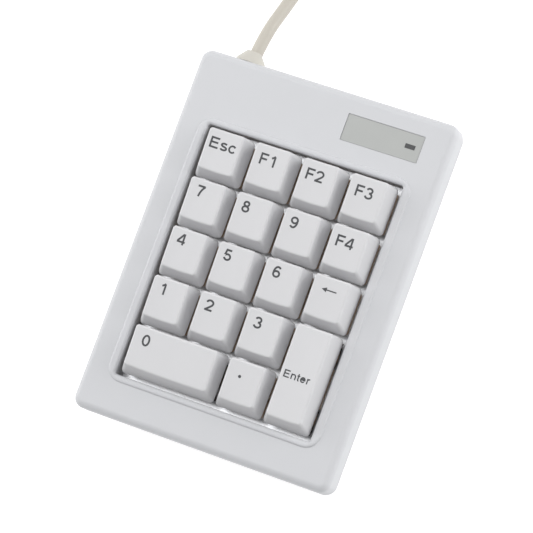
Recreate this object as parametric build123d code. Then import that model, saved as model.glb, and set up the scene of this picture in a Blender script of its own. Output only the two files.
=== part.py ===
from build123d import *

import math
import os

# Numeric keypad, in millimetres. The origin is the middle of the case's footprint, on the
# surface that the rubber feet stand on. +X is right, +Y is back, to the cord, and +Z is up.

# ---- driving dimensions -------------------------------------------------------------------
KEY_PITCH = 19.05
CASE_WIDTH = 102.7
CASE_DEPTH = 139.3
CASE_CORNER_R = 4.0
DECK_Z = 21.4  # the flat top of the case
PARTING_Z = 13.0  # where the two shells meet
BASE_Z = 1.5  # the underside of the case, above the rubber feet
WALL = 2.0
DECK_EDGE_R = 2.6

# The key field: its middle, and the opening and raised rim round it.
FIELD_Y = -5.45
OPENING_WIDTH = 78.06
OPENING_DEPTH = 97.08
OPENING_CORNER_R = 1.0
RIM_WIDTH = 85.3
RIM_DEPTH = 102.4
RIM_CORNER_R = 6.0
RIM_RISE = 0.6
RIM_EDGE_R = 1.0  # more than the rise, so the edge meets the deck at a slant
RIM_INNER_R = 1.2  # the soft edge from the rim down into the opening
RIM_Z = DECK_Z + RIM_RISE
SKIRT_WALL = 1.6  # the wall that goes down from the rim to the switch plate

# The lower shell.
LOWER_INSET = 0.3
LOWER_BAND_Z = 10.5  # above this its side is upright, below it slopes in
LOWER_SLOPE_IN = 4.8
LOWER_WALL = 2.2
TONGUE_RISE = 2.0
TONGUE_WALL = 1.0
TONGUE_GAP = 0.2
BOARD_POST_R = 3.0

# Keycaps.
CAP_BASE = 18.2
CAP_BASE_CORNER_R = 1.6
CAP_SKIRT_Z = RIM_Z - 1.8
CAP_TOP_WIDTH = 13.6
CAP_TOP_DEPTH = 15.1
CAP_TOP_SHIFT = 1.4  # the top is set back from the key's middle
CAP_TOP_CORNER_R = 1.2
CAP_FRONT_Z = RIM_Z + 4.65
CAP_BACK_Z = RIM_Z + 5.8
CAP_DISH = 0.5
CAP_ROOF = 1.3
CAP_WALL = 1.3
CAP_RIM_R = 0.8
KEY_TRAVEL = 4.0

# Switches, heights from the plate's top.
PLATE_Z = 14.0
PLATE_THICK = 1.5
PLATE_WIDTH = 85.0
PLATE_DEPTH = 102.0
CUTOUT = 14.0
BOARD_Z = PLATE_Z - 5.0
BOARD_THICK = 1.6
BOARD_WIDTH = 80.0
BOARD_DEPTH = 111.4
BOARD_Y = 0.3
BOARD_NECK_WIDTH = 76.0
BOARD_NECK_DEPTH = 8.0
CHIP_SIZE = 12.0
CHIP_PLACE = (-4.0, 51.0)
CRYSTAL_LENGTH = 11.0
CRYSTAL_WIDTH = 4.6
CRYSTAL_PLACE = (14.0, 51.5)
HEADER_WIDTH = 7.0
HEADER_DEPTH = 9.0
LED_R = 1.5
LED_FLANGE_R = 1.9
LED_GAP = 4.5  # from the light's dome up to the case's top
HOUSING_BASE = 13.9
FLANGE = 15.6
FLANGE_THICK = 1.0
UPPER_FOOT = 14.0
UPPER_TOP = 9.0
UPPER_Z = PLATE_Z + 6.6
STEM_OPENING_X = 7.4
STEM_OPENING_Y = 6.0
CROSS_RISE = 3.6
CROSS_LENGTH = 4.0
CROSS_THICK = 1.15
SOCKET_R = 2.7
PEG_R = 1.95
PEG_LENGTH = 3.1
PIN_R = 0.45
PIN_PLACES = [(-3.81, 2.54), (2.54, 5.08)]
CAVITY_X = 9.8
CAVITY_Y = 8.2
CAVITY_FLOOR_Z = BOARD_Z + 1.2
SLIDER_X = 7.0
SLIDER_Y = 5.6
SHOULDER_X = 9.2
SHOULDER_Y = 7.4
SHOULDER_LOW_Z = CAVITY_FLOOR_Z + KEY_TRAVEL + 1.1
SHOULDER_HIGH_Z = UPPER_Z - 1.3
SPRING_BORE_R = 2.4
SPRING_R = 1.9
SPRING_WALL = 0.3
POLE_R = 1.1
POLE_LOW_Z = 13.7
POLE_HOLE_R = 1.35

# Stabilizers under the two double keys: one at each side of the switch, and a wire between.
STAB_OFFSET = 11.9
STAB_PIVOT_Y = -8.6
STAB_PIVOT_Z = 10.7
STAB_HOOK_Z = 14.9
STAB_WIRE_R = 0.8
STAB_ARM_X = 4.6  # from the insert's middle out to the wire's arm
STAB_HOUSING_Z = 16.4
STAB_HOUSING_X = 7.0
STAB_HOUSING_Y = 12.0
STAB_WELL_X = 5.4
STAB_WELL_Y = 6.0
STAB_CLIP_X = 3.0
STAB_CLIP_Y = 4.2
STAB_INSERT_X = 4.8
STAB_INSERT_Y = 5.4
STAB_SLOT_Y = 3.6
STAB_SLOT_Y_MIDDLE = -0.55  # between where the wire's hook starts and ends its swing
STAB_BEND_R = 1.3

# Badge and light, right of the middle behind the keys.
BADGE_WIDTH = 30.0
BADGE_DEPTH = 9.9
BADGE_THICK = 0.3
BADGE_RECESS = 0.5
BADGE_X = 25.4
BADGE_Y = 57.23
WINDOW_WIDTH = 3.8
WINDOW_DEPTH = 1.6
WINDOW_X = 36.17
WINDOW_Y = 57.3

# Fasteners and feet.
SCREW_X = 42.0
SCREW_Y = 60.5
SCREW_R = 1.45
SCREW_HEAD_R = 2.8
SCREW_HEAD_Z = BASE_Z + 0.6
SCREW_HEAD_HIGH = 1.95
BOSS_R = 3.6
FOOT_R = 5.0
FOOT_X = 36.0
FOOT_Y = 54.0
FOOT_SINK = 0.8

# The cord: 1.4 m of round lead, out of the back wall on the parting line.
CORD_D = 4.8
CORD_R = CORD_D / 2
CORD_LENGTH = 1400.0
CORD_X = -35.2
BOOT_BASE_R = 5.85
BOOT_TIP_R = 2.75
BOOT_LENGTH = 4.6
BOOT_NECK_R = 4.0
BOOT_FLANGE_R = 5.5
HEADER_Y = 58.0  # the header's back face, where the cord's wires end
LEAD_ROUTE = [
    (CORD_X, HEADER_Y, PARTING_Z),
    (CORD_X, 79.0, PARTING_Z),
    (-32.5, 98.5, 5.0),
    (-27.6, 119.5, CORD_R),
    (-25.0, 140.5, CORD_R),
]
COIL_X = 10.05
COIL_Y = 155.0
COIL_MID_R = 27.7
COIL_TURNS_WIDE = 4
COIL_TURNS_HIGH = 2
COIL_PITCH = 4.9
COIL_EDGE_R = 2.3
PLUG_AXIS_Z = 4.2
TAIL_ROUTE = [
    (22.0, 190.05, 7.3),
    (30.0, 190.5, 5.6),
    (37.5, 190.8, PLUG_AXIS_Z),
    (45.0, 190.8, PLUG_AXIS_Z),
]
GRIP_LENGTH = 26.0
GRIP_WIDTH = 15.6
GRIP_THICK = 8.0
GRIP_CORNER_R = 2.4
GRIP_TAIL_R = CORD_R + 0.9
GRIP_TAIL_LENGTH = 4.0
GRIP_NECK_LENGTH = 9.0
SHELL_LENGTH = 12.0
SHELL_WIDTH = 12.0
SHELL_THICK = 4.5
SHELL_SHEET = 0.35

# Every key: its name, its middle in key units from the field's middle, and its size in units.
KEYS = [
    ("esc", -1.5, 2, 1, 1),
    ("f1", -0.5, 2, 1, 1),
    ("f2", 0.5, 2, 1, 1),
    ("f3", 1.5, 2, 1, 1),
    ("7", -1.5, 1, 1, 1),
    ("8", -0.5, 1, 1, 1),
    ("9", 0.5, 1, 1, 1),
    ("f4", 1.5, 1, 1, 1),
    ("4", -1.5, 0, 1, 1),
    ("5", -0.5, 0, 1, 1),
    ("6", 0.5, 0, 1, 1),
    ("backspace", 1.5, 0, 1, 1),
    ("1", -1.5, -1, 1, 1),
    ("2", -0.5, -1, 1, 1),
    ("3", 0.5, -1, 1, 1),
    ("enter", 1.5, -1.5, 1, 2),
    ("0", -1, -2, 2, 1),
    ("decimal", 0.5, -2, 1, 1),
]


def key_place(across, up):
    return Pos(across * KEY_PITCH, FIELD_Y + up * KEY_PITCH, 0)


KEY_PLACES = [key_place(across, up) for _, across, up, _, _ in KEYS]
# A double key's stabilizer lies along X under a wide key, and is turned along Y under a tall one.
STAB_PLACES = {
    name: key_place(across, up) * Rot(0, 0, 90 if tall > 1 else 0)
    for name, across, up, wide, tall in KEYS
    if wide * tall > 1
}


def write(node, shape):
    export_step(shape, f"parts/{node}.step")


def group(shapes):
    return Compound([solid for shape in shapes for solid in shape.solids()])


def slab(width, depth, low, high, corner=0.0, x=0.0, y=0.0):
    """A plate with rounded corners in plan, from one height to another."""
    outline = RectangleRounded(width, depth, corner) if corner else Rectangle(width, depth)
    return extrude(Pos(x, y, low) * outline, high - low)


def rod(radius, low, high, x=0.0, y=0.0):
    return extrude(Pos(x, y, low) * Circle(radius), high - low)


def cross(length, thick, low, high):
    return slab(length, thick, low, high) + slab(thick, length, low, high)


# ---- keycaps ------------------------------------------------------------------------------
def cap_top_plane(extra_depth):
    """The plane through the top's rim, which slopes down to the front."""
    tilt = math.degrees(math.atan2(CAP_BACK_Z - CAP_FRONT_Z, CAP_TOP_DEPTH + extra_depth))
    middle = (0, CAP_TOP_SHIFT, (CAP_FRONT_Z + CAP_BACK_Z) / 2)
    return Plane(Location(middle, (tilt, 0, 0)))


def cap_body(extra_width, extra_depth):
    plane = cap_top_plane(extra_depth)
    base_outline = RectangleRounded(CAP_BASE + extra_width, CAP_BASE + extra_depth, CAP_BASE_CORNER_R)
    top_width = CAP_TOP_WIDTH + extra_width
    top_outline = RectangleRounded(top_width, CAP_TOP_DEPTH + extra_depth, CAP_TOP_CORNER_R)
    body = loft([(Pos(0, 0, CAP_SKIRT_Z) * base_outline).face(), (plane * top_outline).face()], ruled=True)
    dish_r = ((top_width / 2) ** 2 + CAP_DISH**2) / (2 * CAP_DISH)
    dish = plane * Pos(0, 0, dish_r - CAP_DISH) * Rot(90, 0, 0) * Cylinder(dish_r, 80)
    body -= dish
    rim = body.faces().sort_by(Axis.Z)[-1].outer_wire().edges()
    return fillet(rim, CAP_RIM_R)


def cap_cavity(extra_width, extra_depth):
    plane = cap_top_plane(extra_depth).offset(-CAP_DISH - CAP_ROOF)
    base_outline = Rectangle(CAP_BASE - 2 * CAP_WALL + extra_width, CAP_BASE - 2 * CAP_WALL + extra_depth)
    top_outline = Rectangle(
        CAP_TOP_WIDTH - 2 * CAP_WALL + 0.2 + extra_width, CAP_TOP_DEPTH - 2 * CAP_WALL + extra_depth
    )
    return loft([(Pos(0, 0, CAP_SKIRT_Z) * base_outline).face(), (plane * top_outline).face()], ruled=True)


def cap_sockets(tall, offsets):
    """The round sockets that go on the stems, each with a cross-shaped hole."""
    sockets = []
    for offset in offsets:
        place = Pos(0, offset, 0) if tall else Pos(offset, 0, 0)
        socket = rod(SOCKET_R, UPPER_Z + 0.3, CAP_FRONT_Z - 0.65)
        socket -= cross(CROSS_LENGTH + 0.1, CROSS_THICK + 0.1, UPPER_Z + 0.3, UPPER_Z + CROSS_RISE + 0.2)
        sockets.append(place * socket)
    return sockets


def keycap(wide, tall):
    extra_width = (wide - 1) * KEY_PITCH
    extra_depth = (tall - 1) * KEY_PITCH
    offsets = [-STAB_OFFSET, 0, STAB_OFFSET] if wide * tall > 1 else [0]
    body = cap_body(extra_width, extra_depth) - cap_cavity(extra_width, extra_depth)
    for socket in cap_sockets(tall > 1, offsets):
        body += socket
    return body


# ---- switches -----------------------------------------------------------------------------
def lower_housing():
    body = slab(HOUSING_BASE, HOUSING_BASE, BOARD_Z, PLATE_Z, 0.6)
    body += slab(FLANGE, FLANGE, PLATE_Z, PLATE_Z + FLANGE_THICK, 0.8)
    body += rod(PEG_R, BOARD_Z - PEG_LENGTH, BOARD_Z)
    body -= slab(CAVITY_X, CAVITY_Y, CAVITY_FLOOR_Z, PLATE_Z + FLANGE_THICK)
    body -= rod(POLE_HOLE_R, POLE_LOW_Z - KEY_TRAVEL - 0.5, CAVITY_FLOOR_Z)
    for x, y in PIN_PLACES:
        body -= rod(PIN_R + 0.1, BOARD_Z, CAVITY_FLOOR_Z + 0.8, x, y)
    return body


def upper_housing():
    foot_z = PLATE_Z + FLANGE_THICK
    body = loft(
        [
            (Pos(0, 0, foot_z) * Rectangle(UPPER_FOOT, UPPER_FOOT)).face(),
            (Pos(0, 0, UPPER_Z) * Rectangle(UPPER_TOP, UPPER_TOP)).face(),
        ],
        ruled=True,
    )
    body -= slab(CAVITY_X, CAVITY_Y, foot_z, SHOULDER_HIGH_Z - 1.6)
    body -= slab(SHOULDER_X + 0.3, SHOULDER_Y + 0.3, foot_z, SHOULDER_HIGH_Z + 0.1)
    return body - slab(STEM_OPENING_X, STEM_OPENING_Y, foot_z, UPPER_Z)


def stem():
    """The slider: a shouldered block with a cross on top, and a pole inside its spring."""
    body = slab(SHOULDER_X, SHOULDER_Y, SHOULDER_LOW_Z, SHOULDER_HIGH_Z)
    body += slab(SLIDER_X, SLIDER_Y, SHOULDER_HIGH_Z, UPPER_Z)
    body += cross(CROSS_LENGTH, CROSS_THICK, UPPER_Z, UPPER_Z + CROSS_RISE)
    body -= rod(SPRING_BORE_R, SHOULDER_LOW_Z, SHOULDER_HIGH_Z - 0.4)
    return body + rod(POLE_R, POLE_LOW_Z, SHOULDER_HIGH_Z - 0.4)


def spring():
    """A sleeve as long and as wide as the coil spring round the pole."""
    low = CAVITY_FLOOR_Z + 0.1
    high = SHOULDER_HIGH_Z - 0.5
    return rod(SPRING_R, low, high) - rod(SPRING_R - SPRING_WALL, low, high)


def contact_pins():
    return [rod(PIN_R, BOARD_Z - PEG_LENGTH - 0.5, CAVITY_FLOOR_Z + 0.6, x, y) for x, y in PIN_PLACES]


# ---- stabilizers, along X with the wire's pivot at -Y ----------------------------------------
def stab_housing(side):
    """One housing: a well for the insert, a slot for the wire's hook, and a clip at its foot."""
    x = side * STAB_OFFSET
    outer = x + side * 3.1
    body = slab(STAB_HOUSING_X, STAB_HOUSING_Y, BOARD_Z, STAB_HOUSING_Z, 0.5, x)
    body += slab(STAB_CLIP_X, STAB_CLIP_Y, BOARD_Z, STAB_PIVOT_Z + 2 * STAB_WIRE_R, 0, x, STAB_PIVOT_Y + 0.6)
    body -= slab(STAB_WELL_X, STAB_WELL_Y, BOARD_Z, STAB_HOUSING_Z, 0, x)
    body -= slab(1.2, STAB_SLOT_Y, BOARD_Z + 0.6, STAB_HOUSING_Z, 0, outer, STAB_SLOT_Y_MIDDLE)
    bore = Pos(x, STAB_PIVOT_Y, STAB_PIVOT_Z) * Rot(0, 90, 0) * Cylinder(STAB_WIRE_R + 0.15, 8)
    return body - bore


def stab_insert(side):
    x = side * STAB_OFFSET
    body = slab(STAB_INSERT_X, STAB_INSERT_Y, STAB_HOOK_Z - 1.6, UPPER_Z, 0, x)
    body += Pos(x, 0, 0) * cross(CROSS_LENGTH, CROSS_THICK, UPPER_Z, UPPER_Z + CROSS_RISE)
    return body - slab(STAB_INSERT_X, 3.3, STAB_HOOK_Z - 1.0, STAB_HOOK_Z + 1.0, 0, x, STAB_SLOT_Y_MIDDLE)


def stab_wire():
    """A bar through both clips, an arm at each end, and a hook in each insert."""
    arm_x = STAB_OFFSET + STAB_ARM_X
    hook_in = STAB_OFFSET + 0.5
    reach = -STAB_PIVOT_Y
    lift = STAB_HOOK_Z - STAB_PIVOT_Z
    hook_y = STAB_PIVOT_Y + math.sqrt(reach**2 - lift**2)
    points = [
        (-hook_in, hook_y, STAB_HOOK_Z),
        (-arm_x, hook_y, STAB_HOOK_Z),
        (-arm_x, STAB_PIVOT_Y, STAB_PIVOT_Z),
        (arm_x, STAB_PIVOT_Y, STAB_PIVOT_Z),
        (arm_x, hook_y, STAB_HOOK_Z),
        (hook_in, hook_y, STAB_HOOK_Z),
    ]
    path = FilletPolyline(*points, radius=STAB_BEND_R)
    return sweep(Plane(path @ 0, z_dir=path % 0) * Circle(STAB_WIRE_R), path=path)


# ---- plate and board ------------------------------------------------------------------------
def stab_clearance(side):
    """The plate's cut-out round one stabilizer housing and its wire's arm."""
    return slab(9.4, 13.9, PLATE_Z - PLATE_THICK, PLATE_Z, 0.6, side * (STAB_OFFSET + 1.0), -0.65)


def switch_plate():
    low = PLATE_Z - PLATE_THICK
    plate = slab(PLATE_WIDTH, PLATE_DEPTH, low, PLATE_Z, 2.0, 0, FIELD_Y)
    holes = [place * slab(CUTOUT, CUTOUT, low, PLATE_Z, 0.3) for place in KEY_PLACES]
    holes += [place * stab_clearance(side) for place in STAB_PLACES.values() for side in (-1, 1)]
    return plate - holes


def circuit_board():
    low = BOARD_Z - BOARD_THICK
    board = slab(BOARD_WIDTH, BOARD_DEPTH, low, BOARD_Z, 1.5, 0, BOARD_Y)
    # A narrower stretch goes back between the screw bosses.
    board += slab(BOARD_NECK_WIDTH, BOARD_NECK_DEPTH, low, BOARD_Z, 1.5, 0, BOARD_Y + BOARD_DEPTH / 2 + 0.5)
    holes = [place * rod(PEG_R + 0.1, low, BOARD_Z) for place in KEY_PLACES]
    for place in KEY_PLACES:
        holes += [place * rod(PIN_R + 0.3, low, BOARD_Z, x, y) for x, y in PIN_PLACES]
    return board - holes


def board_components():
    """The controller chip, its crystal, and the header that the cord's wires end in."""
    chip = slab(CHIP_SIZE, CHIP_SIZE, BOARD_Z, BOARD_Z + 1.8, 0, *CHIP_PLACE)
    crystal = slab(CRYSTAL_LENGTH, CRYSTAL_WIDTH, BOARD_Z, BOARD_Z + 3.5, 2.2, *CRYSTAL_PLACE)
    header_y = HEADER_Y - HEADER_DEPTH / 2
    header = slab(HEADER_WIDTH, HEADER_DEPTH, BOARD_Z, PARTING_Z + 3.4, 0, CORD_X, header_y)
    return [chip, crystal, header]


def status_led():
    dome_z = DECK_Z - LED_GAP
    body = rod(LED_FLANGE_R, BOARD_Z, BOARD_Z + 1.0, WINDOW_X, WINDOW_Y)
    body += rod(LED_R, BOARD_Z + 1.0, dome_z, WINDOW_X, WINDOW_Y)
    return body + Pos(WINDOW_X, WINDOW_Y, dome_z) * Sphere(LED_R)


# ---- case -----------------------------------------------------------------------------------
def boot_hole(radius, near, far):
    """A round cut along Y about the cord's way out, between two depths."""
    middle = Pos(CORD_X, (near + far) / 2, PARTING_Z)
    return middle * Rot(90, 0, 0) * Cylinder(radius, far - near)


def corner_places():
    return [(sx * SCREW_X, sy * SCREW_Y) for sx in (-1, 1) for sy in (-1, 1)]


def top_case():
    body = slab(CASE_WIDTH, CASE_DEPTH, PARTING_Z, DECK_Z, CASE_CORNER_R)
    body = fillet(body.faces().sort_by(Axis.Z)[-1].outer_wire().edges(), DECK_EDGE_R)
    inner_r = CASE_CORNER_R - WALL
    body -= slab(CASE_WIDTH - 2 * WALL, CASE_DEPTH - 2 * WALL, PARTING_Z, DECK_Z - WALL, inner_r)
    rim = slab(RIM_WIDTH, RIM_DEPTH, DECK_Z - WALL, RIM_Z, RIM_CORNER_R, 0, FIELD_Y)
    body += fillet(rim.faces().sort_by(Axis.Z)[-1].outer_wire().edges(), RIM_EDGE_R)
    skirt_width = OPENING_WIDTH + 2 * SKIRT_WALL
    skirt_depth = OPENING_DEPTH + 2 * SKIRT_WALL
    skirt_r = OPENING_CORNER_R + SKIRT_WALL
    body += slab(skirt_width, skirt_depth, PLATE_Z + 0.05, DECK_Z - WALL, skirt_r, 0, FIELD_Y)
    for x, y in corner_places():
        body += rod(BOSS_R, PARTING_Z, DECK_Z - WALL, x, y)
    body -= slab(OPENING_WIDTH, OPENING_DEPTH, PARTING_Z, RIM_Z, OPENING_CORNER_R, 0, FIELD_Y)
    body = fillet(body.faces().sort_by(Axis.Z)[-1].inner_wires()[0].edges(), RIM_INNER_R)
    body -= [rod(SCREW_R + 0.05, PARTING_Z, DECK_Z - WALL - 0.8, x, y) for x, y in corner_places()]
    body -= boot_hole(BOOT_NECK_R + 0.1, CASE_DEPTH / 2 - WALL - 1, CASE_DEPTH / 2 + 1)
    recess_floor = DECK_Z - BADGE_RECESS
    body -= slab(BADGE_WIDTH + 0.3, BADGE_DEPTH + 0.3, recess_floor, DECK_Z, 0.4, BADGE_X, BADGE_Y)
    return body - slab(WINDOW_WIDTH + 0.1, WINDOW_DEPTH + 0.1, DECK_Z - WALL, DECK_Z, 0, WINDOW_X, WINDOW_Y)


def lower_outer(inset):
    """The lower shell's outside, or its inside when inset by the wall."""
    width = CASE_WIDTH - 2 * LOWER_INSET - 2 * inset
    depth = CASE_DEPTH - 2 * LOWER_INSET - 2 * inset
    corner = max(CASE_CORNER_R - inset, 1.2)
    low = BASE_Z + inset
    band = slab(width, depth, LOWER_BAND_Z, PARTING_Z, corner)
    floor_outline = RectangleRounded(width - 2 * LOWER_SLOPE_IN, depth - 2 * LOWER_SLOPE_IN, corner)
    band_outline = RectangleRounded(width, depth, corner)
    sections = [(Pos(0, 0, low) * floor_outline).face(), (Pos(0, 0, LOWER_BAND_Z) * band_outline).face()]
    return band + loft(sections, ruled=True)


def tongue():
    """A thin upright lip that locates the top shell."""
    edge = WALL + TONGUE_GAP
    width = CASE_WIDTH - 2 * edge
    depth = CASE_DEPTH - 2 * edge
    lip = slab(width, depth, PARTING_Z - 2.0, PARTING_Z + TONGUE_RISE, CASE_CORNER_R - WALL)
    inner_width = width - 2 * TONGUE_WALL
    inner_depth = depth - 2 * TONGUE_WALL
    lip -= slab(inner_width, inner_depth, PARTING_Z - 2.0, PARTING_Z + TONGUE_RISE, 1.0)
    return lip


def board_post_places():
    half = KEY_PITCH / 2
    corners = [(sx * KEY_PITCH, FIELD_Y + sy * 3 * half) for sx in (-1, 1) for sy in (-1, 1)]
    return corners + [(0, FIELD_Y + half), (0, FIELD_Y - half)]


def bottom_case():
    body = lower_outer(0) - lower_outer(LOWER_WALL) + tongue()
    floor_top = BASE_Z + LOWER_WALL
    for x, y in corner_places():
        body += rod(BOSS_R, floor_top - 0.2, PARTING_Z - 0.05, x, y)
    for x, y in board_post_places():
        body += rod(BOARD_POST_R, floor_top - 0.2, BOARD_Z - BOARD_THICK, x, y)
    body -= [rod(SCREW_R + 0.25, BASE_Z, PARTING_Z, x, y) for x, y in corner_places()]
    head_seat_z = SCREW_HEAD_Z + SCREW_HEAD_HIGH + 0.05
    body -= [rod(SCREW_HEAD_R + 0.3, BASE_Z, head_seat_z, x, y) for x, y in corner_places()]
    body -= [rod(FOOT_R + 0.2, BASE_Z, BASE_Z + FOOT_SINK, x, y) for x, y in foot_places()]
    body -= boot_hole(BOOT_FLANGE_R + 0.4, CASE_DEPTH / 2 - WALL - 4, CASE_DEPTH / 2 - WALL)
    return body - boot_hole(BOOT_NECK_R + 0.1, CASE_DEPTH / 2 - WALL - 1, CASE_DEPTH / 2 + 1)


def case_screw():
    """A pan-head screw, head down, with a cross recess."""
    head_high = SCREW_HEAD_Z + SCREW_HEAD_HIGH
    head = rod(SCREW_HEAD_R, SCREW_HEAD_Z, head_high)
    head = fillet(head.faces().sort_by(Axis.Z)[0].edges(), 0.8)
    body = head + rod(SCREW_R, head_high, DECK_Z - WALL - 1.2)
    return body - cross(3.0, 0.8, SCREW_HEAD_Z, SCREW_HEAD_Z + 1.1)


def foot_places():
    return [(sx * FOOT_X, sy * FOOT_Y) for sx in (-1, 1) for sy in (-1, 1)]


def rubber_foot():
    body = rod(FOOT_R, 0, BASE_Z + FOOT_SINK - 0.05)
    return fillet(body.faces().sort_by(Axis.Z)[0].edges(), 0.5)


def name_badge():
    low = DECK_Z - BADGE_RECESS
    badge = slab(BADGE_WIDTH, BADGE_DEPTH, low, low + BADGE_THICK, 0.3, BADGE_X, BADGE_Y)
    return badge - slab(WINDOW_WIDTH + 0.1, WINDOW_DEPTH + 0.1, low, low + BADGE_THICK, 0, WINDOW_X, WINDOW_Y)


def led_window():
    top = DECK_Z - BADGE_RECESS + BADGE_THICK + 0.05
    under = DECK_Z - WALL
    body = slab(WINDOW_WIDTH, WINDOW_DEPTH, under, top, 0, WINDOW_X, WINDOW_Y)
    return body + slab(WINDOW_WIDTH + 1.2, WINDOW_DEPTH + 1.2, under - 0.8, under, 0, WINDOW_X, WINDOW_Y)


# ---- cord -------------------------------------------------------------------------------------
def strain_relief():
    """A short cone outside the back wall, a neck through it and a flange behind it."""
    wall_out = CASE_DEPTH / 2 + 0.15
    wall_in = CASE_DEPTH / 2 - WALL - 0.1
    profile = Polyline(
        (CORD_R + 0.1, wall_in - 1.6),
        (BOOT_FLANGE_R, wall_in - 1.6),
        (BOOT_FLANGE_R, wall_in),
        (BOOT_NECK_R, wall_in),
        (BOOT_NECK_R, wall_out),
        (BOOT_BASE_R, wall_out),
        (BOOT_BASE_R - 0.5, wall_out + 1.3),
        (BOOT_TIP_R, wall_out + BOOT_LENGTH),
        (CORD_R + 0.1, wall_out + BOOT_LENGTH),
        close=True,
    )
    # The profile is drawn as (radius, distance along Y) and turned about the cord's axis.
    return Pos(CORD_X, 0, PARTING_Z) * revolve(make_face(profile), Axis.Y, 360)


def arc_radii(points):
    """The largest arc that fits each corner: 0.45 of the shorter run over tan(half the turn)."""
    radii = []
    for before, here, after in zip(points, points[1:], points[2:]):
        run_in = Vector(*here) - Vector(*before)
        run_out = Vector(*after) - Vector(*here)
        half_turn = math.radians(run_in.get_angle(run_out)) / 2
        radii.append(0.45 * min(run_in.length, run_out.length) / math.tan(half_turn))
    return radii


def cord_tube(points):
    radii = arc_radii(points)
    path = FilletPolyline(*points, radius=radii)
    tube = sweep(Plane(path @ 0, z_dir=path % 0) * Circle(CORD_R), path=path)
    share = tube.volume / (math.pi * CORD_R**2 * path.length)
    print("cord radii", [round(r, 1) for r in radii])
    print("cord length", round(path.length, 1), "volume share", round(share, 4))
    return tube, path.length


def coil_outline():
    """The outer shape of the coil: a flat ring, rounded where the outer turns lie."""
    bundle_width = (COIL_TURNS_WIDE - 1) * COIL_PITCH + CORD_D
    bundle_height = (COIL_TURNS_HIGH - 1) * COIL_PITCH + CORD_D
    outline = RectangleRounded(bundle_width, bundle_height, COIL_EDGE_R)
    section = Plane.XZ * Pos(COIL_MID_R, bundle_height / 2) * outline
    return Pos(COIL_X, COIL_Y, 0) * revolve(section, Axis.Z, 360)


def plug_grip():
    """A moulded grip: a round tail that grows into a flat rounded block."""
    x, y, _ = TAIL_ROUTE[-1]
    facing = Plane((x, y, PLUG_AXIS_Z), x_dir=(0, 1, 0), z_dir=(1, 0, 0))
    tail = Circle(GRIP_TAIL_R)
    block = RectangleRounded(GRIP_WIDTH, GRIP_THICK, GRIP_CORNER_R)
    body = extrude(facing * tail, GRIP_TAIL_LENGTH)
    neck_start = facing.offset(GRIP_TAIL_LENGTH) * tail
    neck_end = facing.offset(GRIP_NECK_LENGTH) * block
    body += loft([neck_start.face(), neck_end.face()])
    return body + extrude(facing.offset(GRIP_NECK_LENGTH) * block, GRIP_LENGTH - GRIP_NECK_LENGTH)


def plug_shell():
    """The plug's sheet-metal shell, open at its end, with two square windows and its tongue."""
    x, y, _ = TAIL_ROUTE[-1]
    facing = Plane((x + GRIP_LENGTH, y, PLUG_AXIS_Z), x_dir=(0, 1, 0), z_dir=(1, 0, 0))
    outer = extrude(facing * RectangleRounded(SHELL_WIDTH, SHELL_THICK, 0.5), SHELL_LENGTH)
    inner_outline = RectangleRounded(SHELL_WIDTH - 2 * SHELL_SHEET, SHELL_THICK - 2 * SHELL_SHEET, 0.2)
    shell = outer - extrude(facing.offset(0.6) * inner_outline, SHELL_LENGTH)
    for side in (-1, 1):
        shell -= Pos(x + GRIP_LENGTH + 6.0, y + side * 2.9, PLUG_AXIS_Z + 2.0) * Box(2.2, 2.2, 1.2)
    tongue_block = extrude(facing * Pos(0, -0.9) * Rectangle(SHELL_WIDTH - 1.2, 1.8), SHELL_LENGTH - 0.8)
    return shell + tongue_block


def write_keys():
    caps = {size: keycap(*size) for size in {(wide, tall) for _, _, _, wide, tall in KEYS}}
    slider = stem()
    for (name, _, _, wide, tall), place in zip(KEYS, KEY_PLACES):
        write(f"key_{name}", place * caps[wide, tall])
        write(f"stem_{name}", place * slider)


def write_stabilizers():
    housings = []
    for name, place in STAB_PLACES.items():
        housings += [place * stab_housing(side) for side in (-1, 1)]
        label = "zero" if name == "0" else name
        write(f"stabilizer_inserts_{label}", group([place * stab_insert(side) for side in (-1, 1)]))
        write(f"stabilizer_wire_{label}", place * stab_wire())
    write("stabilizer_housings", group(housings))


def write_switches():
    write("switch_lower_housings", group([place * lower_housing() for place in KEY_PLACES]))
    write("switch_upper_housings", group([place * upper_housing() for place in KEY_PLACES]))
    write("switch_springs", group([place * spring() for place in KEY_PLACES]))
    pins = [place * pin for place in KEY_PLACES for pin in contact_pins()]
    write("switch_contacts", group(pins))
    write("switch_plate", switch_plate())


def write_case():
    write("top_case", top_case())
    write("bottom_case", bottom_case())
    write("name_badge", name_badge())
    write("led_window", led_window())
    write("case_screws", group([Pos(x, y, 0) * case_screw() for x, y in corner_places()]))
    write("rubber_feet", group([Pos(x, y, 0) * rubber_foot() for x, y in foot_places()]))
    write("circuit_board", circuit_board())
    write("board_components", group(board_components()))
    write("status_led", status_led())


def write_cord():
    lead, lead_length = cord_tube(LEAD_ROUTE)
    tail, tail_length = cord_tube(TAIL_ROUTE)
    # The lead and the tail run on, straight, to where they touch the coil's outer turn.
    beside = COIL_Y - LEAD_ROUTE[-1][1] + TAIL_ROUTE[0][0] - COIL_X
    coiled = CORD_LENGTH - lead_length - tail_length - beside
    print("coil turns", round(coiled / (2 * math.pi * COIL_MID_R), 2))
    write("strain_relief", strain_relief())
    write("usb_cord", group([lead, tail]))
    write("usb_cord_coil", coil_outline())
    write("usb_plug_grip", plug_grip())
    write("usb_plug_shell", plug_shell())


def main():
    os.makedirs("parts", exist_ok=True)
    write_keys()
    write_stabilizers()
    write_switches()
    write_case()
    write_cord()


main()
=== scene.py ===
"""The looks of the numeric keypad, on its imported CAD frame. Lengths are in metres."""

import math

import bmesh
import bpy
from mathutils import Matrix, Vector
from mathutils.geometry import delaunay_2d_cdt


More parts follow.
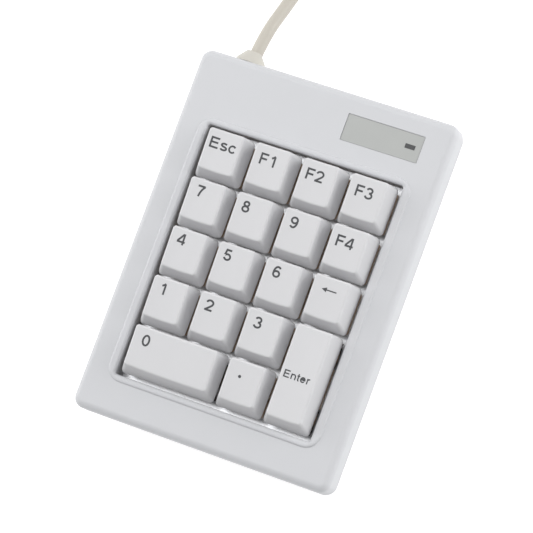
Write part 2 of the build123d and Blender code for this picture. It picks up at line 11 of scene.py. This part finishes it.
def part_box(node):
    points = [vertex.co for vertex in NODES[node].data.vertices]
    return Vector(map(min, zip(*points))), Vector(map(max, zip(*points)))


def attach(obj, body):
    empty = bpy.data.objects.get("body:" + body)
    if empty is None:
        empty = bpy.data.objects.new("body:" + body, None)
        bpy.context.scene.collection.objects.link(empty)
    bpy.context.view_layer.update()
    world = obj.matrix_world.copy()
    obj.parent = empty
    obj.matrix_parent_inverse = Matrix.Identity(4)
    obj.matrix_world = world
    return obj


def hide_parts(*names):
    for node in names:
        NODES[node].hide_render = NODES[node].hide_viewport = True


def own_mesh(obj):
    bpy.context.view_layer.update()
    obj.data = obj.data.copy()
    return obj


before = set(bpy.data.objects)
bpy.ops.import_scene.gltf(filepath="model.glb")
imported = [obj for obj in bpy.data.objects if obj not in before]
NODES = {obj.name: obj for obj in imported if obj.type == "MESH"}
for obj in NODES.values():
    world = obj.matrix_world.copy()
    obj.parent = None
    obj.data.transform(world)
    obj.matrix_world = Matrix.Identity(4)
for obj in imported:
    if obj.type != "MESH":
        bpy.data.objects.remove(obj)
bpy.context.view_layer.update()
MM = 0.001

# Camera: where it aims, how far off it stands, and from where.
AIM = Vector((0.00136, 0.0002, 0.02215))
CAMERA_DISTANCE = 1.1309
CAMERA_ELEVATION = 69.98
CAMERA_AZIMUTH = -15.01
PICTURE_UP_TURN = 21.16  # the picture's upright, turned from +Y towards -X
LENS = 213.1
SENSOR = 36.0

KEY_NAMES = "esc f1 f2 f3 7 8 9 f4 4 5 6 backspace 1 2 3 enter 0 decimal".split()

# Cord: part.py's route with its second and third points moved, and the coil beside it.
CORD_RADIUS = 2.4 * MM
LEAD_ROUTE = [
    (-0.0352, 0.0580, 0.0130),
    (-0.0346, 0.0790, 0.0130),
    (-0.0320, 0.0985, 0.0050),
    (-0.0276, 0.1195, 0.0024),
    (-0.0250, 0.1405, 0.0024),
]
TAIL_ROUTE = [
    (0.0220, 0.19005, 0.0073),
    (0.0300, 0.1905, 0.0056),
    (0.0375, 0.1908, 0.0042),
    (0.0450, 0.1908, 0.0042),
]
COIL_MIDDLE = (10.05 * MM, 155.0 * MM)
COIL_MID_RADIUS = 27.7 * MM
COIL_TURNS = 7.25
COIL_WIDE = 4  # turns side by side in a layer
COIL_PITCH = 4.9 * MM
POINTS_PER_TURN = 16

# Springs, one round each stem's pole.
SPRING_TURNS = 8
SPRING_STEPS = 20  # points in a turn
SPRING_WIRE = 0.15 * MM  # the wire's radius
SPRING_SIDES = 6
SPRING_RADIUS = 1.75 * MM

# Soft light: each box's place, its size and its power in watts.
SOFTBOXES = {
    "right_side": ((0.994, 0.574, 0.351), (0.9, 0.6), 7.2),
    "upper_left": ((-1.03, 0.86, 2.52), (2.0, 2.0), 34),
    "left_side": ((-1.1, 0.1, 0.45), (0.9, 0.6), 5.5),
    "overhead": ((0.609, -0.107, 1.902), (0.5, 0.5), 3.5),
}
LIGHT_AIM = Vector((0, 0, 0.02))
ROOM_LIGHT = 0.465  # the light from all round
FLOOR_GLOW = 0.7
FLOOR_REACH = 3.0


# ---- camera ---------------------------------------------------------------------------------
def make_camera():
    elevation = math.radians(CAMERA_ELEVATION)
    azimuth = math.radians(CAMERA_AZIMUTH)
    level = math.cos(elevation)
    outward = Vector((level * math.cos(azimuth), level * math.sin(azimuth), math.sin(elevation)))
    turn = math.radians(PICTURE_UP_TURN)
    right = (-outward).cross(Vector((-math.sin(turn), math.cos(turn), 0))).normalized()
    up = outward.cross(right)
    camera = bpy.data.objects.new("camera", bpy.data.cameras.new("camera"))
    bpy.context.scene.collection.objects.link(camera)
    rows = (right, up, outward)
    place = Matrix.Translation(AIM + outward * CAMERA_DISTANCE)
    camera.matrix_world = place @ Matrix(rows).transposed().to_4x4()
    camera.data.lens = LENS
    camera.data.sensor_width = SENSOR
    camera.data.clip_end = 20
    bpy.context.scene.camera = camera


# ---- mesh and curve helpers -------------------------------------------------------------------
def add_object(name, data):
    piece = bpy.data.objects.new(name, data)
    bpy.context.scene.collection.objects.link(piece)
    return piece


def add_mesh(name, points, faces):
    mesh = bpy.data.meshes.new(name)
    mesh.from_pydata(points, [], faces)
    mesh.update()
    return add_object(name, mesh)


def smooth(share):
    """An S-shaped step from 0 to 1."""
    share = min(max(share, 0.0), 1.0)
    return share * share * (3 - 2 * share)


def wind_tube(points, radius, sides):
    """A closed tube's points and faces round a line of points."""
    line = [Vector(p) for p in points]
    verts, faces = [], []
    across = Vector((0, 0, 1))
    for i, here in enumerate(line):
        along = (line[min(i + 1, len(line) - 1)] - line[max(i - 1, 0)]).normalized()
        across = (across - along * across.dot(along)).normalized()
        beside = along.cross(across)
        for k in range(sides):
            turn = 2 * math.pi * k / sides
            verts.append(here + radius * (math.cos(turn) * across + math.sin(turn) * beside))
    for i in range(len(line) - 1):
        for k in range(sides):
            after = (k + 1) % sides
            low, high = i * sides, (i + 1) * sides
            faces.append((low + k, low + after, high + after, high + k))
    faces.append(tuple(reversed(range(sides))))
    faces.append(tuple(range((len(line) - 1) * sides, len(line) * sides)))
    return verts, faces


# ---- cord ---------------------------------------------------------------------------------------
def coil_place(turn):
    """Where the cord is after so many turns of the coil.

    The lower layer winds inwards, one pitch in the last fifth of each turn. The innermost turn
    climbs, and the upper layer winds outwards over it, clear of where it climbs."""
    whole, part = int(turn), turn - int(turn)
    if turn < COIL_WIDE:
        inward = whole + (smooth((part - 0.8) / 0.2) if whole < COIL_WIDE - 1 else 0)
        climb = smooth((part - 0.6) / 0.2) if whole == COIL_WIDE - 1 else 0
    else:
        inward = COIL_WIDE - 1 - (whole - COIL_WIDE) - smooth((part - 0.4) / 0.2)
        climb = 1
    radius = COIL_MID_RADIUS + ((COIL_WIDE - 1) / 2 - inward) * COIL_PITCH
    return radius, CORD_RADIUS + climb * COIL_PITCH


def coil_points():
    # The curve runs inside its control points by this much.
    spread = 1 / (0.75 + 0.25 * math.cos(2 * math.pi / POINTS_PER_TURN))
    points = []
    for step in range(round(COIL_TURNS * POINTS_PER_TURN) + 1):
        turn = step / POINTS_PER_TURN
        radius, height = coil_place(turn)
        angle = math.pi - 2 * math.pi * turn
        x = COIL_MIDDLE[0] + spread * radius * math.cos(angle)
        y = COIL_MIDDLE[1] + spread * radius * math.sin(angle)
        points.append((x, y, height))
    return points


def make_cord(material):
    curve = bpy.data.curves.new("cord", "CURVE")
    curve.dimensions = "3D"
    curve.bevel_depth = CORD_RADIUS
    curve.bevel_resolution = 5
    curve.resolution_u = 12
    curve.use_fill_caps = True
    route = LEAD_ROUTE + coil_points() + TAIL_ROUTE
    spline = curve.splines.new("NURBS")
    spline.points.add(len(route) - 1)
    for point, place in zip(spline.points, route):
        point.co = (*place, 1)
    spline.order_u = 3
    spline.use_endpoint_u = True
    cord = add_object("cord", curve)
    curve.materials.append(material)
    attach(cord, "case")
    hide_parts("usb_cord", "usb_cord_coil")


# ---- materials ------------------------------------------------------------------------------------
def new_material(name, colour, roughness, metallic=0.0):
    """A material with its tree and its shader."""
    material = bpy.data.materials.new(name)
    material.use_nodes = True
    tree = material.node_tree
    shader = tree.nodes["Principled BSDF"]
    shader.inputs["Base Color"].default_value = (*colour, 1)
    shader.inputs["Roughness"].default_value = roughness
    shader.inputs["Metallic"].default_value = metallic
    return material, tree, shader


def srgb(red, green, blue):
    def linear(value):
        value /= 255
        return value / 12.92 if value <= 0.04045 else ((value + 0.055) / 1.055) ** 2.4

    return linear(red), linear(green), linear(blue)


def object_noise(tree, size, detail=2.0, stretch=(1, 1, 1)):
    """Noise whose grains are about that size, in metres."""
    coordinates = tree.nodes.new("ShaderNodeTexCoord")
    mapping = tree.nodes.new("ShaderNodeMapping")
    mapping.inputs["Scale"].default_value = stretch
    noise = tree.nodes.new("ShaderNodeTexNoise")
    noise.inputs["Scale"].default_value = 1 / size
    noise.inputs["Detail"].default_value = detail
    tree.links.new(coordinates.outputs["Object"], mapping.inputs["Vector"])
    tree.links.new(mapping.outputs["Vector"], noise.inputs["Vector"])
    return noise


def vary_colour(tree, shader, noise, low, high):
    ramp = tree.nodes.new("ShaderNodeValToRGB")
    ramp.color_ramp.elements[0].position = 0.3
    ramp.color_ramp.elements[1].position = 0.7
    ramp.color_ramp.elements[0].color = (*low, 1)
    ramp.color_ramp.elements[1].color = (*high, 1)
    tree.links.new(noise.outputs["Fac"], ramp.inputs["Fac"])
    tree.links.new(ramp.outputs["Color"], shader.inputs["Base Color"])


def vary_roughness(tree, shader, noise, low, high):
    spread = tree.nodes.new("ShaderNodeMapRange")
    spread.inputs["To Min"].default_value = low
    spread.inputs["To Max"].default_value = high
    tree.links.new(noise.outputs["Fac"], spread.inputs["Value"])
    tree.links.new(spread.outputs["Result"], shader.inputs["Roughness"])


def add_bump(tree, shader, noise, height, strength=1.0):
    bump = tree.nodes.new("ShaderNodeBump")
    bump.inputs["Strength"].default_value = strength
    bump.inputs["Distance"].default_value = height
    tree.links.new(noise.outputs["Fac"], bump.inputs["Height"])
    tree.links.new(bump.outputs["Normal"], shader.inputs["Normal"])


def moulded(name, colour, roughness, grain=0.25 * MM, height=0.006 * MM, mottle=0.015):
    """Moulded plastic: a fine spark-eroded grain, and a very faint unevenness of colour and gloss."""
    material, tree, shader = new_material(name, colour, roughness)
    broad = object_noise(tree, 9 * MM, 3)
    low = [c * (1 - mottle) for c in colour]
    high = [min(c * (1 + mottle), 1) for c in colour]
    vary_colour(tree, shader, broad, low, high)
    fine = object_noise(tree, grain, 2)
    vary_roughness(tree, shader, fine, roughness - 0.05, roughness + 0.05)
    add_bump(tree, shader, fine, height)
    shader.inputs["Specular IOR Level"].default_value = 0.45
    return material


def brushed(name, colour, roughness, stretch, height=0.004 * MM):
    """Metal with fine lines along one way."""
    material, tree, shader = new_material(name, colour, roughness, 1.0)
    lines = object_noise(tree, 0.3 * MM, 3, stretch)
    vary_colour(tree, shader, lines, [c * 0.9 for c in colour], colour)
    vary_roughness(tree, shader, lines, roughness * 0.75, roughness * 1.3)
    add_bump(tree, shader, lines, height)
    return material


def assign(material, *names):
    for name in names:
        slots = NODES[name].data.materials
        slots.clear()
        slots.append(material)


def make_materials():
    caps = moulded("keycap_plastic", srgb(206, 206, 208), 0.46, 0.18 * MM, 0.004 * MM, 0.006)
    assign(caps, *[f"key_{name}" for name in KEY_NAMES])
    assign(moulded("stem_plastic", srgb(98, 66, 46), 0.38), *[f"stem_{name}" for name in KEY_NAMES])
    case = moulded("case_plastic", srgb(199, 200, 203), 0.5, 0.3 * MM, 0.008 * MM, 0.006)
    assign(case, "top_case", "bottom_case")
    tan = moulded("housing_plastic", srgb(204, 178, 154), 0.4)
    assign(tan, "switch_lower_housings", "switch_upper_housings")
    assign(tan, "stabilizer_housings", "stabilizer_inserts_zero", "stabilizer_inserts_enter")
    assign(brushed("plate_steel", srgb(236, 237, 240), 0.35, (1, 14, 1)), "switch_plate")
    wire = brushed("drawn_wire", srgb(186, 186, 188), 0.25, (1, 1, 12))
    assign(wire, "stabilizer_wire_zero", "stabilizer_wire_enter", "switch_springs")
    assign(brushed("tinned_brass", srgb(206, 190, 150), 0.3, (1, 1, 8)), "switch_contacts")
    assign(brushed("zinc_plate", srgb(168, 168, 166), 0.35, (1, 1, 1)), "case_screws")
    assign(brushed("nickel_plate", srgb(200, 198, 194), 0.22, (10, 1, 1)), "usb_plug_shell")
    assign(moulded("badge_film", srgb(166, 168, 166), 0.35, 0.12 * MM, 0.002 * MM), "name_badge")
    lens = moulded("smoked_lens", srgb(57, 58, 60), 0.2, 0.4 * MM, 0.001 * MM)
    lens.node_tree.nodes["Principled BSDF"].inputs["Specular IOR Level"].default_value = 0.3
    assign(lens, "led_window")
    assign(moulded("led_epoxy", srgb(198, 222, 186), 0.25), "status_led")
    assign(moulded("foot_rubber", srgb(72, 72, 74), 0.75, 0.4 * MM, 0.02 * MM), "rubber_feet")
    assign(moulded("solder_mask", srgb(30, 88, 56), 0.35, 0.8 * MM, 0.004 * MM), "circuit_board")
    assign(moulded("component_black", srgb(38, 38, 40), 0.5), "board_components")
    boot = moulded("boot_vinyl", srgb(194, 191, 183), 0.5, 0.5 * MM, 0.006 * MM, 0.01)
    assign(boot, "strain_relief", "usb_plug_grip")
    return moulded("cord_vinyl", srgb(188, 183, 173), 0.5, 0.5 * MM, 0.006 * MM, 0.01)


# ---- springs ---------------------------------------------------------------------------------------
def make_springs(material):
    """A coil spring round each stem's pole."""
    low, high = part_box("switch_springs")
    length = high.z - low.z
    steps = SPRING_TURNS * SPRING_STEPS
    for name in KEY_NAMES:
        stem_low, stem_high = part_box(f"stem_{name}")
        middle = (stem_low + stem_high) / 2
        points = []
        for step in range(steps + 1):
            turn = 2 * math.pi * step / SPRING_STEPS
            x = middle.x + SPRING_RADIUS * math.cos(turn)
            y = middle.y + SPRING_RADIUS * math.sin(turn)
            points.append((x, y, low.z + SPRING_WIRE + (length - 2 * SPRING_WIRE) * step / steps))
        piece = add_mesh(f"spring_{name}", *wind_tube(points, SPRING_WIRE, SPRING_SIDES))
        piece.data.materials.append(material)
        piece.data.polygons.foreach_set("use_smooth", [True] * len(piece.data.polygons))
        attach(piece, "case")
        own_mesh(piece)
        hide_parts("switch_springs")


# ---- legends -----------------------------------------------------------------------------------------
# The legends' letters are strokes of one width. A letter's lines are in shares of a capital's height,
# from its left edge at the foot, and its advance is how far on the next letter starts.
PEN = 0.17
LOW = PEN / 2
TOP = 1 - LOW
INK_RISE = 0.02 * MM
INK_DEPTH = 0.08 * MM


def bow(x, y, across, up, start, end, steps=14):
    """Points on part of an ellipse, between two angles in degrees."""
    turns = [math.radians(start + (end - start) * k / steps) for k in range(steps + 1)]
    return [(x + across * math.cos(t), y + up * math.sin(t)) for t in turns]


def half_turned(strokes, x, y):
    """The same strokes, turned upside down about a point."""
    return [[(2 * x - a, 2 * y - b) for a, b in stroke] for stroke in strokes]


def sweep_down(x, y, bend_x, bend_y, end_x, end_y, steps=8):
    """Points on a curve that leaves one point towards a second and ends at a third."""
    shares = [k / steps for k in range(steps + 1)]
    xs = [(1 - t) ** 2 * x + 2 * t * (1 - t) * bend_x + t * t * end_x for t in shares]
    ys = [(1 - t) ** 2 * y + 2 * t * (1 - t) * bend_y + t * t * end_y for t in shares]
    return list(zip(xs, ys))


SIX = [
    bow(0.35, 0.315, 0.245, 0.243, 0, 360, 28),
    bow(0.375, 0.70, 0.235, 0.228, 28, 90, 6) + bow(0.375, 0.44, 0.270, 0.488, 97, 190),
]
LETTERS = {
    "0": (0.78, [bow(0.36, 0.5, 0.25, 0.428, 0, 360, 32)]),
    "1": (0.78, [[(0.45, 0), (0.45, 0.93)], sweep_down(0.45, 0.97, 0.34, 0.80, 0.18, 0.74)]),
    "2": (0.78, [
        bow(0.36, 0.69, 0.265, 0.238, 172, -22) + sweep_down(0.595, 0.57, 0.48, 0.42, 0.10, LOW)[1:],
        [(0.04, LOW), (0.67, LOW)],
    ]),
    "3": (0.78, [
        bow(0.355, 0.723, 0.225, 0.205, 165, -90),
        bow(0.355, 0.295, 0.265, 0.223, 90, -168),
    ]),
    "4": (0.78, [[(0.52, 0), (0.52, 0.99)], [(0.47, 0.95), (0.05, 0.29)], [(0.01, 0.26), (0.68, 0.26)]]),
    "5": (0.78, [
        [(0.60, TOP), (0.20, TOP), (0.13, 0.50)] + bow(0.355, 0.315, 0.245, 0.243, 140, -165, 20),
    ]),
    "6": (0.78, SIX),
    "7": (0.78, [[(0.05, TOP), (0.64, TOP)] + sweep_down(0.64, TOP, 0.34, 0.60, 0.27, 0)]),
    "8": (0.78, [bow(0.36, 0.735, 0.20, 0.193, 0, 360, 24), bow(0.36, 0.295, 0.245, 0.223, 0, 360, 28)]),
    "9": (0.78, half_turned(SIX, 0.36, 0.5)),
    "E": (0.86, [
        [(0.74, TOP), (0.15, TOP), (0.15, LOW), (0.76, LOW)],
        [(0.15, 0.52), (0.70, 0.52)],
    ]),
    "F": (0.80, [[(0.71, TOP), (0.15, TOP), (0.15, 0)], [(0.15, 0.50), (0.64, 0.50)]]),
    "s": (0.66, [
        bow(0.325, 0.525, 0.205, 0.130, 25, 235, 12) + bow(0.325, 0.215, 0.230, 0.143, 60, -160, 14),
    ]),
    "c": (0.68, [bow(0.36, 0.365, 0.25, 0.293, 38, 322, 20)]),
    "n": (0.74, [
        [(0.15, 0), (0.15, 0.73)],
        bow(0.38, 0.44, 0.23, 0.218, 180, 0, 12) + [(0.61, 0)],
    ]),
    "t": (0.44, [
        [(0.21, 0.93), (0.21, 0.20)] + bow(0.33, 0.20, 0.12, 0.128, 180, 280, 6),
        [(0.05, 0.66), (0.40, 0.66)],
    ]),
    "e": (0.76, [[(0.12, 0.35), (0.61, 0.35)] + bow(0.36, 0.37, 0.25, 0.30, 0, 322, 22)]),
    "r": (0.48, [[(0.15, 0), (0.15, 0.73)], bow(0.36, 0.40, 0.21, 0.258, 170, 72, 8)]),
}

# Each key's legend, how high its capitals are, how wide for their height, and where its middle is
# from the key's middle, in millimetres.
LEGENDS = [
    ("esc", "Esc", 4.1, 1.23, -0.05, 3.8),
    ("f1", "F1", 4.2, 1.13, -1.1, 3.7),
    ("f2", "F2", 4.2, 1.13, -1.2, 3.65),
    ("f3", "F3", 4.2, 1.13, -0.65, 3.35),
    ("7", "7", 4.2, 1.1, -1.9, 4.45),
    ("8", "8", 4.2, 1.1, -2.6, 4.25),
    ("9", "9", 4.2, 1.1, -2.4, 4.25),
    ("f4", "F4", 4.2, 1.13, -1.0, 3.25),
    ("4", "4", 4.2, 1.1, -2.4, 4.8),
    ("5", "5", 4.2, 1.1, -2.65, 4.65),
    ("6", "6", 4.2, 1.1, -2.1, 4.55),
    ("1", "1", 4.2, 1.1, -2.3, 4.75),
    ("2", "2", 4.2, 1.1, -2.55, 4.5),
    ("3", "3", 4.2, 1.1, -2.1, 4.25),
    ("enter", "Enter", 2.8, 1.14, -0.45, 0.05),
    ("0", "0", 4.2, 1.12, -11.0, 4.1),
]


def ribbon(points, width):
    """Both edges of a stroke of that width along some points, with mitred corners, and if it closes."""
    line = [Vector((x, y)) for x, y in points]
    closed = (line[0] - line[-1]).length < width / 50
    if closed:
        line = line[:-1]
    sides = ([], [])
    for i, here in enumerate(line):
        before = line[i - 1] if i or closed else here
        after = line[(i + 1) % len(line)] if i + 1 < len(line) or closed else here
        ways = [way.normalized() for way in (here - before, after - here) if way.length > 0]
        normals = [Vector((-way.y, way.x)) for way in ways]
        mean = (normals[0] + normals[-1]).normalized()
        reach = width / 2 / max(mean.dot(normals[0]), 0.5)
        sides[0].append(here + mean * reach)
        sides[1].append(here - mean * reach)
    return sides, closed


def ribbon_faces(stroke, width):
    """A stroke as four-sided faces along it."""
    (left, right), closed = ribbon(stroke, width)
    count = len(left)
    pairs = [(k, (k + 1) % count) for k in range(count if closed else count - 1)]
    return [[right[a], right[b], left[b], left[a]] for a, b in pairs]


def letter_faces(text, height, widen):
    """A word's strokes as flat faces in metres, with its middle at the origin."""
    faces = []
    start = 0.0
    for letter in text:
        advance, strokes = LETTERS[letter]
        for stroke in strokes:
            placed = [((start + x) * height * widen, y * height) for x, y in stroke]
            faces += ribbon_faces(placed, PEN * height)
        start += advance
    spots = [spot for face in faces for spot in face]
    xs = [spot.x for spot in spots]
    ys = [spot.y for spot in spots]
    middle = Vector(((min(xs) + max(xs)) / 2, (min(ys) + max(ys)) / 2))
    return [[spot - middle for spot in face] for face in faces]


def ink_solid(name, faces):
    """Flat faces, joined where they overlap, as one thin closed solid."""
    spots = [spot for face in faces for spot in face]
    loops = []
    for face in faces:
        first = loops[-1][-1] + 1 if loops else 0
        loops.append(list(range(first, first + len(face))))
    flat_spots, _, triangles, _, _, came_from = delaunay_2d_cdt(spots, [], loops, 1, 1e-7)
    mesh = bmesh.new()
    tops = [mesh.verts.new((spot.x, spot.y, 0)) for spot in flat_spots]
    for corners, origins in zip(triangles, came_from):
        if origins:
            mesh.faces.new([tops[k] for k in corners])
    bmesh.ops.recalc_face_normals(mesh, faces=mesh.faces)
    lower = bmesh.ops.extrude_face_region(mesh, geom=mesh.faces[:])
    for piece in lower["geom"]:
        if isinstance(piece, bmesh.types.BMVert):
            piece.co.z -= INK_DEPTH
    bmesh.ops.recalc_face_normals(mesh, faces=mesh.faces)
    data = bpy.data.meshes.new(f"legend_{name}")
    mesh.to_mesh(data)
    mesh.free()
    return add_object(f"legend_{name}", data)


def lay_on_key(piece, name, place):
    """Moves a flat solid over its key and bends it to the key's top, just proud of it."""
    key = NODES[f"key_{name}"]
    for vertex in piece.data.vertices:
        spot = vertex.co + place
        _, point, _, _ = key.ray_cast(Vector((spot.x, spot.y, 1)), Vector((0, 0, -1)))
        vertex.co = (spot.x, spot.y, point.z + vertex.co.z + INK_RISE)
    piece.data.update()


def key_middle(name):
    low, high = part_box(f"key_{name}")
    middle = (low + high) / 2
    middle.z = 0
    return middle


def arrow_faces():
    """A left arrow: a thin shaft and a slim head."""
    half, shaft, head, flare = 2.9 * MM, 0.22 * MM, 1.9 * MM, 0.9 * MM
    tip = [Vector((-half, 0)), Vector((-half + head, -flare)), Vector((-half + head, flare))]
    bar = [(-half + head / 2, -shaft), (half, -shaft), (half, shaft), (-half + head / 2, shaft)]
    return [tip, [Vector(spot) for spot in bar]]


def dot_faces():
    return [[Vector(spot) * MM for spot in bow(0, 0, 0.58, 0.58, 0, 345, 23)]]


def finish_legend(name, faces, right, back, ink):
    piece = ink_solid(name, faces)
    lay_on_key(piece, name, key_middle(name) + Vector((right * MM, back * MM, 0)))
    piece.data.materials.append(ink)
    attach(piece, f"{name}_key")


def make_legends():
    ink = moulded("legend_ink", srgb(66, 67, 70), 0.5, 0.2 * MM, 0.001 * MM)
    for name, text, height, widen, right, back in LEGENDS:
        finish_legend(name, letter_faces(text, height * MM, widen), right, back, ink)
    finish_legend("backspace", arrow_faces(), -0.3, 4.1, ink)
    finish_legend("decimal", dot_faces(), -1.6, 3.05, ink)


# ---- room and light ------------------------------------------------------------------------------------
def make_floor():
    corners = [(-1, -1), (1, -1), (1, 1), (-1, 1)]
    points = [(x * FLOOR_REACH, y * FLOOR_REACH, 0) for x, y in corners]
    floor = add_mesh("floor", points, [(0, 1, 2, 3)])
    material, _, shader = new_material("floor_paper", (0.5, 0.5, 0.5), 0.9)
    shader.inputs["Emission Color"].default_value = (1, 1, 1, 1)
    shader.inputs["Emission Strength"].default_value = FLOOR_GLOW
    floor.data.materials.append(material)


def add_softbox(name, place, size, power):
    light = bpy.data.lights.new(name, "AREA")
    light.shape = "RECTANGLE"
    light.size, light.size_y = size
    light.energy = power
    lamp = add_object(name, light)
    lamp.location = place
    lamp.rotation_euler = (LIGHT_AIM - Vector(place)).to_track_quat("-Z", "Y").to_euler()


def make_light():
    world = bpy.data.worlds.new("studio")
    bpy.context.scene.world = world
    world.use_nodes = True
    background = world.node_tree.nodes["Background"]
    background.inputs["Color"].default_value = (1, 1, 1, 1)
    background.inputs["Strength"].default_value = ROOM_LIGHT
    for name, (place, size, power) in SOFTBOXES.items():
        add_softbox(name, place, size, power)
    bpy.context.scene.view_settings.view_transform = "Standard"


make_camera()
cord_material = make_materials()
make_cord(cord_material)
make_springs(bpy.data.materials["drawn_wire"])
make_legends()
make_floor()
make_light()
